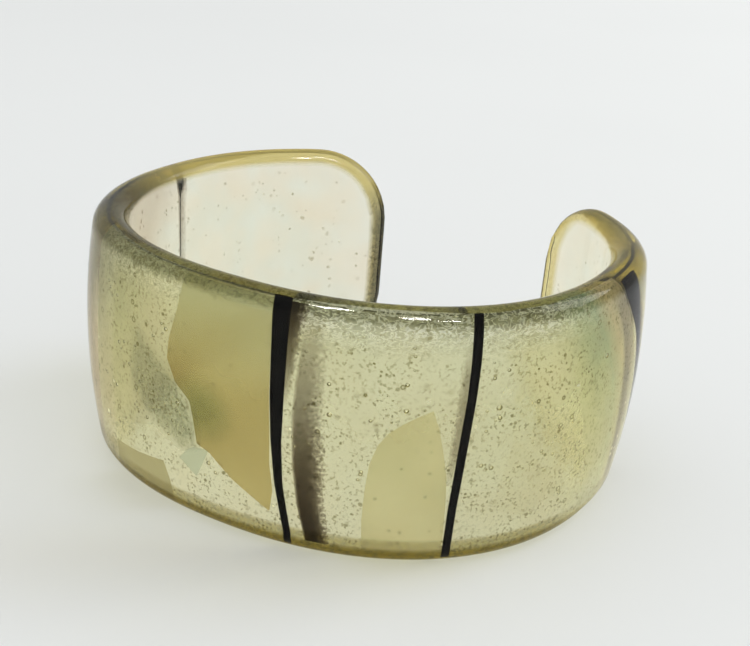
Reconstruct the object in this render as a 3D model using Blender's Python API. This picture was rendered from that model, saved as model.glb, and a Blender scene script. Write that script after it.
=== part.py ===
"""A fused glass cuff bracelet, built the way it is made.

Every piece of glass is first laid out flat: the strip stands on its long edge, X runs along it from
the left arm's end to the right arm's end, Y points away from the wrist and Z is up. Then one oval
path, the mould, bends all the pieces into a cuff that opens at the back (+Y).
"""
import math

import bmesh
import bpy
from mathutils import Matrix, Vector

MM = 0.001

# The oval that the strip is slumped over, measured at the middle of the wall.
HALF_WIDTH = 30.2 * MM
FRONT_DEPTH = 27.7 * MM
BACK_DEPTH = 27.2 * MM
SQUARENESS = 2.23  # 2 is an ellipse, and more is squarer
CENTRE_SHIFT = 2.0 * MM  # moves the oval along Y so that the finished cuff is centred on the origin
PATH_STEPS = 720

# The strip.
STRIP_LENGTH = 159.0 * MM
BAND_HEIGHT = 29.5 * MM
FLARE = 0.9 * MM  # how much farther out the top rim stands than the bottom rim
CROWN = 1.35 * MM  # how far the cap glass domes out at mid-height
LEFT_CORNER = 9.8 * MM
RIGHT_CORNER = 8.2 * MM
GAP = 0.3 * MM  # kept between pieces that touch

# Where the layers lie through the wall, from the wrist side out.
WRIST_FACE = -2.0 * MM
BASE_TOP = -0.15 * MM
CAP_UNDERSIDE = BASE_TOP + GAP
SHEET_TOP = CAP_UNDERSIDE + 0.3 * MM
MARK_BOTTOM = SHEET_TOP + GAP
MARK_TOP = MARK_BOTTOM + 0.4 * MM
POCKET_FLOOR = MARK_TOP + GAP
OUTER_FACE = 2.0 * MM

# Rims and facets.
CAP_RIM_ROUND = 1.6 * MM
BASE_RIM_ROUND = 1.1 * MM
RIM_LIP = 0.8 * MM  # how far the cap wraps over the edge of the sheet
RIM_STEPS = 4
CORNER_STEPS = 7
COLUMN_WIDTH = 2.4 * MM  # the widest flat facet along the bend
CROWN_ROWS = 6

# Stringers, from the top down: millimetres along the strip from the front crown, height, width.
FRONT_LEFT_STRINGER = [
    (7.15, 28.3, 2.0), (7.1, 18.0, 1.55), (7.2, 13.0, 1.2), (7.6, 8.0, 0.95), (8.75, 1.6, 0.85),
]
FRONT_RIGHT_STRINGER = [
    (26.4, 28.3, 1.0), (26.4, 20.0, 0.95), (26.0, 14.0, 0.95), (25.6, 7.0, 0.9), (25.5, 1.6, 0.9),
]
SIDE_RIGHT_STRINGER = [
    (50.0, 28.3, 4.6), (51.8, 25.5, 3.2), (54.0, 21.5, 1.4), (56.0, 17.0, 0.9), (57.4, 10.0, 0.8),
    (57.0, 1.6, 0.8),
]
BACK_LEFT_STRINGER = [(-47.4, 28.3, 1.7), (-47.4, 24.0, 1.0), (-47.3, 12.0, 0.9), (-47.3, 1.6, 0.9)]
SMOKE_STRIP = [(10.8, 28.3, 2.4), (10.7, 18.0, 2.6), (10.9, 12.0, 2.6), (11.3, 6.0, 2.5), (11.9, 1.6, 2.3)]
STRINGER_STEPS = 12

# Flat shards, as outlines: millimetres along the strip from the front crown, and height.
OLIVE_SHARD = [
    (-4.6, 28.3), (-5.4, 24.5), (-6.4, 21.0), (-6.6, 18.6), (-5.4, 16.2), (-3.4, 14.6),
    (-2.9, 12.6), (-2.4, 9.8), (-0.7, 9.2), (2.1, 7.0), (6.6, 4.4), (6.6, 7.0),
    (6.4, 10.0), (6.1, 14.0), (5.9, 18.0), (5.7, 28.3),
]
BLUE_GREY_SHARD = [(-4.9, 7.2), (-3.8, 8.5), (-2.7, 9.2), (-1.5, 8.95), (-1.8, 7.5), (-2.6, 5.7)]
BEIGE_SHARD = [(-16.4, 4.6), (-12.0, 5.0), (-7.6, 5.7), (-6.7, 3.6), (-6.2, 1.3), (-16.6, 1.3)]
LEAF_SHARD = [
    (22.7, 18.6), (21.2, 17.8), (19.8, 16.9), (18.6, 15.9), (17.6, 14.4), (16.9, 12.2), (16.6, 9.0),
    (16.5, 5.5), (16.7, 1.3), (24.6, 1.3), (24.7, 8.0), (24.6, 11.0), (24.0, 14.0), (23.4, 16.6),
]
CLEAR_SHARD = [(31.6, 14.8), (37.6, 8.4), (38.9, 6.6), (34.0, 4.8), (30.0, 6.4)]
FRIT_OUTLINE = [
    (-12.0, 20.2), (-9.6, 18.8), (-7.4, 17.2), (-5.4, 15.6), (-3.6, 13.6), (-3.1, 11.4), (-3.1, 9.7),
    (-4.8, 8.6), (-7.0, 9.6), (-9.8, 11.0), (-12.3, 13.0), (-13.0, 16.0),
]


def oval_point(angle):
    """The mould's oval: a point at this angle, with the front crown at -90 degrees."""
    cosine = math.cos(angle)
    sine = math.sin(angle)
    depth = FRONT_DEPTH if sine < 0 else BACK_DEPTH
    x = HALF_WIDTH * math.copysign(abs(cosine) ** (2 / SQUARENESS), cosine)
    y = depth * math.copysign(abs(sine) ** (2 / SQUARENESS), sine)
    return Vector((x, y + CENTRE_SHIFT, 0))


def make_mould_path(guides):
    """The oval as an open path as long as the strip, starting at the left arm's end."""
    half_turn = [oval_point(-math.pi / 2 + math.pi * i / PATH_STEPS) for i in range(PATH_STEPS + 1)]
    points = [half_turn[0]]
    length = 0
    for start, end in zip(half_turn, half_turn[1:]):
        step = (end - start).length
        if length + step >= STRIP_LENGTH / 2:
            points.append(start.lerp(end, (STRIP_LENGTH / 2 - length) / step))
            break
        points.append(end)
        length += step
    left_arm = [Vector((-point.x, point.y, 0)) for point in reversed(points[1:])]
    points = left_arm + points
    curve = bpy.data.curves.new("mould_path", "CURVE")
    curve.dimensions = "3D"
    curve.twist_mode = "Z_UP"
    spline = curve.splines.new("POLY")
    spline.points.add(len(points) - 1)
    for spline_point, point in zip(spline.points, points):
        spline_point.co = (*point, 1)
    path = bpy.data.objects.new("mould_path", curve)
    path.hide_render = True
    path.display_type = "WIRE"
    guides.objects.link(path)
    return path


def glass(name, colour, roughness, alpha):
    """A glass material of one colour."""
    material = bpy.data.materials.new(name)
    material.use_nodes = True
    shader = material.node_tree.nodes["Principled BSDF"]
    shader.inputs["Base Color"].default_value = (*colour, 1)
    shader.inputs["Roughness"].default_value = roughness
    shader.inputs["Metallic"].default_value = 0
    shader.inputs["Alpha"].default_value = alpha
    shader.inputs["IOR"].default_value = 1.52
    material.diffuse_color = (*colour, alpha)
    return material


def along(millimetres):
    """X on the flat strip, whose left end is at 0, for a place measured from the front crown."""
    return STRIP_LENGTH / 2 + millimetres * MM


def plate(inner, outer, inset):
    """A flat strip on its long edge with rounded corners, its edges inset all round."""
    bm = bmesh.new()
    bmesh.ops.create_cube(bm, size=1)
    size = Vector((STRIP_LENGTH - 2 * inset, outer - inner, BAND_HEIGHT - 2 * inset))
    centre = Vector((STRIP_LENGTH / 2, (inner + outer) / 2, BAND_HEIGHT / 2))
    bmesh.ops.transform(bm, matrix=Matrix.Translation(centre) @ Matrix.Diagonal((*size, 1)), verts=bm.verts)
    for side, radius in ((-1, LEFT_CORNER), (1, RIGHT_CORNER)):
        corners = [
            edge
            for edge in bm.edges
            if abs(edge.verts[0].co.y - edge.verts[1].co.y) > size.y / 2
            and (edge.verts[0].co.x - centre.x) * side > size.x / 2 - MM
        ]
        bmesh.ops.bevel(
            bm, geom=corners, offset=radius - inset, offset_type="OFFSET",
            segments=CORNER_STEPS, profile=0.5, affect="EDGES",
        )
    return bm


def broad_face(bm, y):
    """The one broad flat face of a plate at this depth."""
    faces = [face for face in bm.faces if all(abs(vert.co.y - y) < 0.01 * MM for vert in face.verts)]
    return max(faces, key=lambda face: face.calc_area())


def round_rim(bm, y, radius):
    """Rounds the edge that runs all round the broad face at this depth."""
    bmesh.ops.bevel(
        bm, geom=list(broad_face(bm, y).edges), offset=radius, offset_type="OFFSET",
        segments=RIM_STEPS, profile=0.5, affect="EDGES",
    )


def cut_columns(bm):
    """Cuts a flat piece across its length, so that it can bend."""
    columns = math.ceil(STRIP_LENGTH / COLUMN_WIDTH)
    for i in range(1, columns):
        place = Vector((STRIP_LENGTH * i / columns, 0, 0))
        everything = list(bm.verts) + list(bm.edges) + list(bm.faces)
        across = Vector((1, 0, 0))
        bmesh.ops.bisect_plane(bm, geom=everything, dist=0.02 * MM, plane_co=place, plane_no=across)


def dome(bm):
    """Raises the cap's outer side towards mid-height, and less towards the ends."""
    for i in range(1, CROWN_ROWS):
        place = Vector((0, 0, BAND_HEIGHT * i / CROWN_ROWS))
        outside = [face for face in bm.faces if face.calc_center_median().y > POCKET_FLOOR + 0.1 * MM]
        edges = {edge for face in outside for edge in face.edges}
        verts = {vert for face in outside for vert in face.verts}
        bmesh.ops.bisect_plane(
            bm, geom=list(verts) + list(edges) + outside, dist=0.02 * MM,
            plane_co=place, plane_no=Vector((0, 0, 1)),
        )
    for vert in bm.verts:
        share = (vert.co.y - POCKET_FLOOR) / (OUTER_FACE - POCKET_FLOOR)
        if share > 0.01:
            from_middle = 2 * vert.co.z / BAND_HEIGHT - 1
            from_crown = 2 * vert.co.x / STRIP_LENGTH - 1
            vert.co.y += CROWN * share * (1 - from_middle ** 2) * (1 - from_crown ** 10)


def bend(bm, name, material, path, collection):
    """Leans a flat piece outwards with the flare, and bends it over the mould, whose inside is at +Y."""
    for vert in bm.verts:
        vert.co.y = -vert.co.y - FLARE * (vert.co.z / BAND_HEIGHT - 0.5)
    bm.normal_update()
    bmesh.ops.recalc_face_normals(bm, faces=bm.faces)
    mesh = bpy.data.meshes.new(name)
    bm.to_mesh(mesh)
    bm.free()
    mesh.shade_smooth()
    mesh.set_sharp_from_angle(angle=math.radians(40))
    mesh.materials.append(material)
    piece = bpy.data.objects.new(name, mesh)
    collection.objects.link(piece)
    bender = piece.modifiers.new("slump", "CURVE")
    bender.object = path
    bender.deform_axis = "POS_X"
    return piece


def make_base(path, collection):
    """The inner strip of glass: flat outside, rounded towards the wrist."""
    bm = plate(WRIST_FACE, BASE_TOP, 0)
    round_rim(bm, WRIST_FACE, BASE_RIM_ROUND)
    cut_columns(bm)
    bend(bm, "base_glass", glass("base glass", (0.72, 0.68, 0.56), 0.35, 0.5), path, collection)


def make_sheet(path, collection):
    """The thin rippled iridised sheet, held in the cap's pocket."""
    bm = plate(CAP_UNDERSIDE, SHEET_TOP, RIM_LIP + GAP)
    cut_columns(bm)
    bend(bm, "iridised_sheet", glass("iridised glass", (0.56, 0.55, 0.36), 0.3, 0.6), path, collection)


def make_cap(path, collection):
    """The outer strip of clear glass: domed, round-rimmed, and wrapped over the sheet's edges."""
    bm = plate(CAP_UNDERSIDE, OUTER_FACE, 0)
    pocket = broad_face(bm, CAP_UNDERSIDE)
    bmesh.ops.inset_individual(bm, faces=[pocket], thickness=RIM_LIP, use_even_offset=True)
    deepened = bmesh.ops.extrude_discrete_faces(bm, faces=[pocket])["faces"]
    bmesh.ops.translate(bm, vec=Vector((0, POCKET_FLOOR - CAP_UNDERSIDE, 0)), verts=deepened[0].verts)
    bmesh.ops.remove_doubles(bm, verts=bm.verts, dist=0.001 * MM)
    round_rim(bm, OUTER_FACE, CAP_RIM_ROUND)
    cut_columns(bm)
    dome(bm)
    bend(bm, "cap_glass", glass("cap glass", (0.62, 0.56, 0.26), 0.05, 0.35), path, collection)


def run_at(places, height):
    """The centre and width of a stringer at a height, from its few places."""
    for upper, lower in zip(places, places[1:]):
        if height >= lower[1]:
            break
    share = max(0, min(1, (upper[1] - height) / (upper[1] - lower[1])))
    return upper[0] + (lower[0] - upper[0]) * share, upper[2] + (lower[2] - upper[2]) * share


def make_stringer(name, places, material, path, collection):
    """A rod of glass pressed flat between the sheet and the cap."""
    bm = bmesh.new()
    bmesh.ops.create_cone(bm, cap_ends=True, segments=12, radius1=0.5, radius2=0.5, depth=1)
    for i in range(1, STRINGER_STEPS):
        everything = list(bm.verts) + list(bm.edges) + list(bm.faces)
        level = Vector((0, 0, i / STRINGER_STEPS - 0.5))
        bmesh.ops.bisect_plane(bm, geom=everything, dist=0.0001, plane_co=level, plane_no=Vector((0, 0, 1)))
    top = places[0][1]
    bottom = places[-1][1]
    for vert in bm.verts:
        height = bottom + (top - bottom) * (vert.co.z + 0.5)
        centre, width = run_at(places, height)
        depth = (MARK_BOTTOM + MARK_TOP) / 2 + (MARK_TOP - MARK_BOTTOM) * vert.co.y
        vert.co = (along(centre + width * vert.co.x), depth, height * MM)
    cut_columns(bm)
    bend(bm, name, material, path, collection)


def make_shard(name, outline, material, path, collection):
    """A flat flake of glass with this outline, in the same layer as the stringers."""
    curve = bpy.data.curves.new(name, "CURVE")
    curve.dimensions = "2D"
    curve.fill_mode = "BOTH"
    curve.extrude = (MARK_TOP - MARK_BOTTOM) / 2
    spline = curve.splines.new("POLY")
    spline.points.add(len(outline) - 1)
    spline.use_cyclic_u = True
    for point, (place, height) in zip(spline.points, outline):
        point.co = (along(place), height * MM, 0, 1)
    flake = bpy.data.objects.new(name, curve)
    collection.objects.link(flake)
    bpy.context.view_layer.update()
    shape = flake.evaluated_get(bpy.context.evaluated_depsgraph_get())
    mesh = bpy.data.meshes.new_from_object(shape)
    bpy.data.objects.remove(flake)
    bpy.data.curves.remove(curve)
    bm = bmesh.new()
    bm.from_mesh(mesh)
    bpy.data.meshes.remove(mesh)
    bmesh.ops.remove_doubles(bm, verts=bm.verts, dist=0.001 * MM)
    bmesh.ops.dissolve_limit(bm, angle_limit=math.radians(1), verts=bm.verts, edges=bm.edges)
    stand_up = Matrix.Translation((0, (MARK_BOTTOM + MARK_TOP) / 2, 0)) @ Matrix.Rotation(math.pi / 2, 4, "X")
    bmesh.ops.transform(bm, matrix=stand_up, verts=bm.verts)
    cut_columns(bm)
    bend(bm, name, material, path, collection)


def main():
    for thing in list(bpy.data.objects):
        bpy.data.objects.remove(thing)
    pieces = bpy.data.collections.new("fused_glass_cuff")
    guides = bpy.data.collections.new("mould")
    bpy.context.scene.collection.children.link(pieces)
    bpy.context.scene.collection.children.link(guides)
    path = make_mould_path(guides)

    make_base(path, pieces)
    make_sheet(path, pieces)
    make_cap(path, pieces)

    black = glass("black glass", (0.01, 0.01, 0.012), 0.08, 1)
    make_stringer("black_stringer_front_left", FRONT_LEFT_STRINGER, black, path, pieces)
    make_stringer("black_stringer_front_right", FRONT_RIGHT_STRINGER, black, path, pieces)
    make_stringer("black_stringer_side_right", SIDE_RIGHT_STRINGER, black, path, pieces)
    make_stringer("black_stringer_back_left", BACK_LEFT_STRINGER, black, path, pieces)
    smoke = glass("smoke glass", (0.16, 0.13, 0.11), 0.1, 0.7)
    make_stringer("smoke_strip", SMOKE_STRIP, smoke, path, pieces)

    olive = glass("olive glass", (0.48, 0.45, 0.27), 0.1, 0.7)
    make_shard("olive_shard", OLIVE_SHARD, olive, path, pieces)
    make_shard("leaf_shard", LEAF_SHARD, olive, path, pieces)
    beige = glass("beige glass", (0.56, 0.52, 0.36), 0.1, 0.6)
    make_shard("beige_shard", BEIGE_SHARD, beige, path, pieces)
    blue_grey = glass("blue-grey glass", (0.60, 0.65, 0.62), 0.1, 0.5)
    make_shard("blue_grey_shard", BLUE_GREY_SHARD, blue_grey, path, pieces)
    clear = glass("clear glass", (0.72, 0.70, 0.50), 0.05, 0.3)
    make_shard("clear_shard", CLEAR_SHARD, clear, path, pieces)
    frit = glass("frit", (0.34, 0.36, 0.27), 0.4, 0.8)
    make_shard("frit_patch", FRIT_OUTLINE, frit, path, pieces)


main()
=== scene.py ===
"""The looks of a fused glass cuff: clear cap, rippled iridised sheet, stringers, shards, frit and bubbles.

Every piece of glass is laid out flat and then bent over the oval of the mould. On the flat strip, X runs
along from the left arm's end, Y is depth through the wall (away from the wrist is -Y) and Z is up.
"""
import math
import random

import bpy
from mathutils import Matrix, Vector, noise


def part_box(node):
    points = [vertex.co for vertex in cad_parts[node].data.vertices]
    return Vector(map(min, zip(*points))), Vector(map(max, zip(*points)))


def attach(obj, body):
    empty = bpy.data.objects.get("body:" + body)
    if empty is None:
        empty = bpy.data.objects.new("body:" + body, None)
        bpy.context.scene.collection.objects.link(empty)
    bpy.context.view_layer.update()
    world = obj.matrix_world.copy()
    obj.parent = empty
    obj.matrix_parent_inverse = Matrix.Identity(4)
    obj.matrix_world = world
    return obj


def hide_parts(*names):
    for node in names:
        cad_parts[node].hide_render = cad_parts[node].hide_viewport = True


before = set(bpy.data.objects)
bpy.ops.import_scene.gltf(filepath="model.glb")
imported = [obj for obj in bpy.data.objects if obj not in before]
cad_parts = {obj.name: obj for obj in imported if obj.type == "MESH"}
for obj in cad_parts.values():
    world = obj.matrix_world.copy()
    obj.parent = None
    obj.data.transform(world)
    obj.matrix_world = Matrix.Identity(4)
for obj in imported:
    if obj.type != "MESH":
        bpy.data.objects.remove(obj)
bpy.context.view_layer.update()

MM = 0.001

# The mould's oval at the middle of the wall, and the strip.
HALF_WIDTH = 30.2 * MM
FRONT_DEPTH = 27.7 * MM
BACK_DEPTH = 27.2 * MM
SQUARENESS = 2.23
CENTRE_SHIFT = 2.0 * MM
PATH_STEPS = 720
STRIP_LENGTH = 159.0 * MM
BAND_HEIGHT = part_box("base_glass")[1][2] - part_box("base_glass")[0][2]
FLARE = 0.9 * MM
CROWN = 1.35 * MM
LEFT_CORNER = 9.8 * MM
RIGHT_CORNER = 8.2 * MM

# Layers through the wall, from the wrist side out.
WRIST_FACE = -2.0 * MM
JOINT = 0.01 * MM  # half the hair's breadth left between base and cap where they are fused
SHEET_BOTTOM = 0.15 * MM
SHEET_TOP = 0.45 * MM
FILM_BOTTOM = 0.56 * MM
FILM_TOP = 0.62 * MM
MARK_BOTTOM = 0.75 * MM
MARK_TOP = 1.15 * MM
POCKET_FLOOR = 1.45 * MM
OUTER_FACE = 2.0 * MM
RIM_ROUND = 1.9 * MM
RIM_LIP = 0.8 * MM
RIM_BAND = 1.45 * MM
SHEET_INSET = 1.0 * MM

# The tint of the rims, where light runs round inside the glass: partly the glass's own deeper colour and
# partly painted shade, darkest at the front rim, the foot and the left arm's end; and how cloudy the
# brightest rim is, a painted glow as if lit from within.
RIM_FRONT = (0.57, 0.57, 0.46)
RIM_BACK = (0.86, 0.78, 0.46)
# Along the foot: painted shade, the contact shadow seen through the rounded rim, over the glass's tint.
RIM_FOOT_TINT_AND_SHADE = (0.47, 0.40, 0.13)
# At the left arm's end: painted shade over the glass's tint.
RIM_END_TINT_AND_SHADE = (0.24, 0.22, 0.14)
RIM_GLOW = 0.5
RIGHT_END_GLOW = 0.35

# Where those tints begin and where they are full, in millimetres: along from the front crown, up from the
# foot, in from the left arm's end, and down from the top at that end.
BACK_RIM_LEFT = (-34, -46)
BACK_RIM_RIGHT = (38, 50)
RIGHT_END = (56, 62)
FOOT_BAND = (2.4, 1.8)
LEFT_END_BAND = (1.7, 0.7)
LEFT_END_CORNER = (4, 9)

# Stringers, from the top down: millimetres along from the front crown, height, width.
STRINGERS = {
    "black_stringer_front_left": [
        (7.15, 28.45, 2.0), (7.1, 24.0, 1.75), (7.1, 18.0, 1.55), (7.2, 13.0, 1.2), (7.6, 8.0, 0.95),
        (8.75, 1.6, 0.85),
    ],
    "black_stringer_front_right": [
        (26.4, 28.45, 1.0), (26.5, 24.0, 1.0), (26.4, 20.0, 0.95), (26.0, 14.0, 0.95), (25.6, 7.0, 0.9),
        (25.5, 1.6, 0.9),
    ],
    "black_stringer_side_right": [
        (49.7, 27.7, 4.4), (51.2, 25.4, 3.6), (53.0, 22.0, 2.0), (54.8, 18.0, 0.9), (56.0, 12.0, 0.3),
        (56.2, 1.6, 0.2),
    ],
    "black_stringer_back_left": [
        (-47.4, 28.4, 2.2), (-47.4, 27.6, 1.9), (-47.4, 26.4, 0.8), (-47.3, 25.4, 0.07),
        (-47.3, 15.0, 0.05), (-47.3, 1.6, 0.05),
    ],
}

# Dark see-through film, the same way, and how dark it is from clear at 0: the band beside the front-left
# stringer, darkest at the foot, then the thin flows that run beside the stringers.
DARK_BAND = [
    (10.8, 28.4, 2.6, 0.05), (10.7, 25.0, 2.9, 0.3), (10.5, 20.8, 3.2, 0.65), (10.4, 16.4, 3.6, 1.0),
    (10.7, 10.5, 3.6, 1.9), (11.1, 6.0, 3.2, 2.5), (11.9, 1.6, 2.7, 2.9),
]
# The flows are painted shade: the stringers' shadows and their blurred, bent images.
STRINGER_PAINTED_SHADE = {
    "front_left": [
        (8.7, 28.4, 2.6, 2.6), (8.5, 26.0, 2.1, 2.0), (8.3, 23.0, 1.6, 1.2), (8.1, 19.5, 0.9, 0.4),
        (8.0, 17.0, 0.4, 0),
    ],
    "front_right": [
        (25.75, 25.5, -0.9, 0.1), (25.6, 22.0, -1.1, 0.5), (25.45, 18.0, -1.1, 0.55),
        (25.2, 14.0, -1.0, 0.5), (24.9, 10.0, -0.8, 0.1),
    ],
    "side_right": [
        (51.8, 26.6, 3.4, 0.8), (54.4, 22.0, 3.6, 1.5), (56.5, 15.0, 3.8, 2.1), (57.1, 8.0, 3.6, 1.4),
        (57.2, 1.6, 3.2, 0.8),
    ],
    "back_left": [
        (-47.5, 27.2, -2.4, 1.6), (-47.5, 25.4, -1.8, 0.6), (-47.5, 15.0, -1.6, 0.3),
        (-47.5, 1.6, -1.6, 0.3),
    ],
}

# Shards, as outlines: millimetres along from the front crown, and height.
SHARDS = {
    "olive_shard": [
        (-4.6, 28.5), (-5.4, 24.5), (-6.4, 21.0), (-6.6, 18.6), (-5.4, 16.2), (-3.4, 14.6), (-2.9, 12.6),
        (-2.4, 9.8), (-0.7, 9.2), (2.1, 7.0), (6.6, 4.4), (6.9, 7.0), (6.5, 10.0), (6.4, 14.0), (6.2, 18.0),
        (6.1, 28.5),
    ],
    "blue_grey_shard": [(-4.9, 7.2), (-3.8, 8.6), (-2.9, 9.2), (-1.0, 9.4), (-1.8, 7.5), (-2.6, 5.7)],
    "beige_shard": [(-16.4, 4.6), (-12.0, 5.0), (-7.6, 5.7), (-6.7, 3.6), (-6.2, 1.2), (-16.6, 1.2)],
    "leaf_shard": [
        (22.7, 18.6), (21.2, 17.8), (19.8, 16.9), (18.6, 15.9), (17.6, 14.4), (16.9, 12.2), (16.6, 9.0),
        (16.5, 5.5), (16.7, 1.2), (25.0, 1.2), (24.8, 8.0), (24.6, 11.0), (24.0, 14.0), (23.4, 16.6),
    ],
    "clear_shard": [(31.6, 14.8), (37.6, 8.4), (38.9, 6.6), (34.0, 4.8), (30.0, 6.4)],
    "frit_patch": [
        (-12.0, 20.2), (-9.6, 18.8), (-7.4, 17.2), (-5.4, 15.6), (-3.6, 13.6), (-2.9, 11.4), (-2.9, 9.4),
        (-4.8, 8.6), (-7.0, 9.6), (-9.8, 11.0), (-12.3, 13.0), (-13.0, 16.0),
    ],
}

# The frit patch's shadow, painted as a darker patch in the olive shard, in metres: where it is and how far
# it reaches.
FRIT_SHADOW_PLACE = (-0.0021, -0.0265, 0.0140)
FRIT_SHADOW_SIZE = (0.0050, 0.008, 0.0045)

# What a metre of the pale glass takes out of the light, how much soft light crosses one face of it, and how
# strongly it and the thin sheet inside it bend light.
GLASS_TINT = (0.94, 0.88, 0.10, 1)
GLASS_DENSITY = 50.0
CROSSING = (0.86, 0.86, 0.86)
GLASS_IOR = 1.5
SHEET_IOR = 1.45

# The textured, iridised part of the sheet: from here to here along the strip, clear beyond. Its right edge
# is furthest out at one height and bows in above and below.
PANEL_LEFT = -21.0
PANEL_RIGHT = 55.6
PANEL_WIDEST = 8
PANEL_BOW = 0.021
SHEET_RELIEF = 0.05 * MM
COVERING = ("olive_shard", "leaf_shard", "beige_shard", "blue_grey_shard")

# Grains of frit: how many, and their radius in millimetres.
FRIT_GRAINS = 900
FRIT_RADIUS = (0.03, 0.085)
FRIT_SEED = 11

# Bubbles trapped in the cap: millimetres along, height, radius.
BIG_BUBBLES = [
    (29.0, 19.0, 0.4), (29.2, 17.8, 0.3), (27.8, 12.4, 0.32), (28.9, 12.0, 0.34), (43.5, 21.5, 0.4),
    (12.8, 17.6, 0.34), (20.0, 18.9, 0.34), (-0.5, 8.2, 0.34), (0.4, 7.3, 0.28), (10.3, 17.9, 0.3),
    (9.3, 14.3, 0.26), (9.4, 10.8, 0.2), (16.2, 11.5, 0.28), (12.6, 21.0, 0.28), (38.5, 6.4, 0.3),
]
ALL_BUBBLES = 240
SMALL_BUBBLE_RADIUS = (0.1, 0.24)
CLUSTER_SPREAD = 0.8
BUBBLE_SEED = 7

# No bubbles over the front stringers: millimetres along, and how far to each side.
BUBBLE_FREE = ((7.5, 1.8), (26.1, 1.2))

# Cuts that let a piece follow the curve.
ROD_STEPS = 40
FILM_STEPS = (10, 44)
FLAKE_STEP = 1.2 * MM

# How many times light may cross glass, and how many clear faces it may pass.
GLASS_BOUNCES = 24
CLEAR_FACES = 48


# ---- handling ----

def clear_selection():
    """Leaves edit mode and selects nothing."""
    if bpy.context.mode != "OBJECT":
        bpy.ops.object.mode_set(mode="OBJECT")
    bpy.ops.object.select_all(action="DESELECT")


def take(piece):
    """Makes this the one selected, active object."""
    clear_selection()
    piece.select_set(True)
    bpy.context.view_layer.objects.active = piece


def apply_modifiers(piece):
    """Applies a piece's modifiers in order."""
    take(piece)
    for modifier in list(piece.modifiers):
        bpy.ops.object.modifier_apply(modifier=modifier.name)


def name_piece(name, material):
    """Names the active object and gives it its first material."""
    piece = bpy.context.object
    piece.name = name
    piece.data.name = name
    piece.data.materials.append(material)
    return piece


def along(millimetres):
    """X on the flat strip for a place measured from the front crown."""
    return STRIP_LENGTH / 2 + millimetres * MM


# ---- the mould ----

def oval_point(angle):
    """A point on the mould's oval. The front crown is at -90 degrees."""
    cosine = math.cos(angle)
    sine = math.sin(angle)
    depth = FRONT_DEPTH if sine < 0 else BACK_DEPTH
    x = HALF_WIDTH * math.copysign(abs(cosine) ** (2 / SQUARENESS), cosine)
    y = depth * math.copysign(abs(sine) ** (2 / SQUARENESS), sine)
    return Vector((x, y + CENTRE_SHIFT, 0))


def make_mould_path():
    """The oval as an open path as long as the strip, from the left arm's end to the right's."""
    half_turn = [oval_point(-math.pi / 2 + math.pi * i / PATH_STEPS) for i in range(PATH_STEPS + 1)]
    points = [half_turn[0]]
    length = 0
    for start, end in zip(half_turn, half_turn[1:]):
        step = (end - start).length
        if length + step >= STRIP_LENGTH / 2:
            points.append(start.lerp(end, (STRIP_LENGTH / 2 - length) / step))
            break
        points.append(end)
        length += step
    points = [Vector((-point.x, point.y, 0)) for point in reversed(points[1:])] + points
    curve = bpy.data.curves.new("mould_path", "CURVE")
    curve.dimensions = "3D"
    curve.twist_mode = "Z_UP"
    spline = curve.splines.new("POLY")
    spline.points.add(len(points) - 1)
    for spline_point, point in zip(spline.points, points):
        spline_point.co = (*point, 1)
    path = bpy.data.objects.new("mould_path", curve)
    bpy.context.scene.collection.objects.link(path)
    return path


def bend(piece, path):
    """Leans a flat piece outwards with the flare, then bends it over the mould."""
    clear_selection()
    for vertex in piece.data.vertices:
        vertex.co.y = -vertex.co.y - FLARE * (vertex.co.z / BAND_HEIGHT - 0.5)
    bender = piece.modifiers.new("slump", "CURVE")
    bender.object = path
    bender.deform_axis = "POS_X"
    apply_modifiers(piece)
    bpy.ops.object.mode_set(mode="EDIT")
    bpy.ops.mesh.select_all(action="SELECT")
    bpy.ops.mesh.normals_make_consistent(inside=False)
    bpy.ops.object.mode_set(mode="OBJECT")
    bpy.ops.object.shade_smooth_by_angle(angle=math.radians(40))
    return piece


# ---- the strips ----

def stops(length, inset, rim_stops, spacing):
    """Places across a strip, measured from its edge: close together at the rims, then evenly spaced."""
    first = [inset + stop for stop in rim_stops]
    start = first[-1]
    count = max(2, round((length - 2 * start) / spacing))
    middle = [start + (length - 2 * start) * i / count for i in range(1, count)]
    return first + middle + [length - stop for stop in reversed(first)]


def round_corner(x, z, inset):
    """Moves a point of a square-cornered strip to where rounded corners put it."""
    radius = (LEFT_CORNER if x < STRIP_LENGTH / 2 else RIGHT_CORNER) - inset
    side = -1 if x < STRIP_LENGTH / 2 else 1
    level = -1 if z < BAND_HEIGHT / 2 else 1
    centre_x = STRIP_LENGTH / 2 + side * (STRIP_LENGTH / 2 - inset - radius)
    centre_z = BAND_HEIGHT / 2 + level * (BAND_HEIGHT / 2 - inset - radius)
    across = (x - centre_x) * side
    up = (z - centre_z) * level
    if across <= 0 or up <= 0:
        return x, z
    reach = max(across, up) / math.hypot(across, up)
    return centre_x + side * across * reach, centre_z + level * up * reach


def in_rim(margin):
    """1 inside the mustard band of the rim and 0 further in, with a soft border."""
    return max(0, min(1, (RIM_BAND - margin) / (0.3 * MM) + 0.5))


def fade(value, start, end):
    """0 at start, 1 at end, even between."""
    return max(0, min(1, (value - start) / (end - start)))


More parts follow.
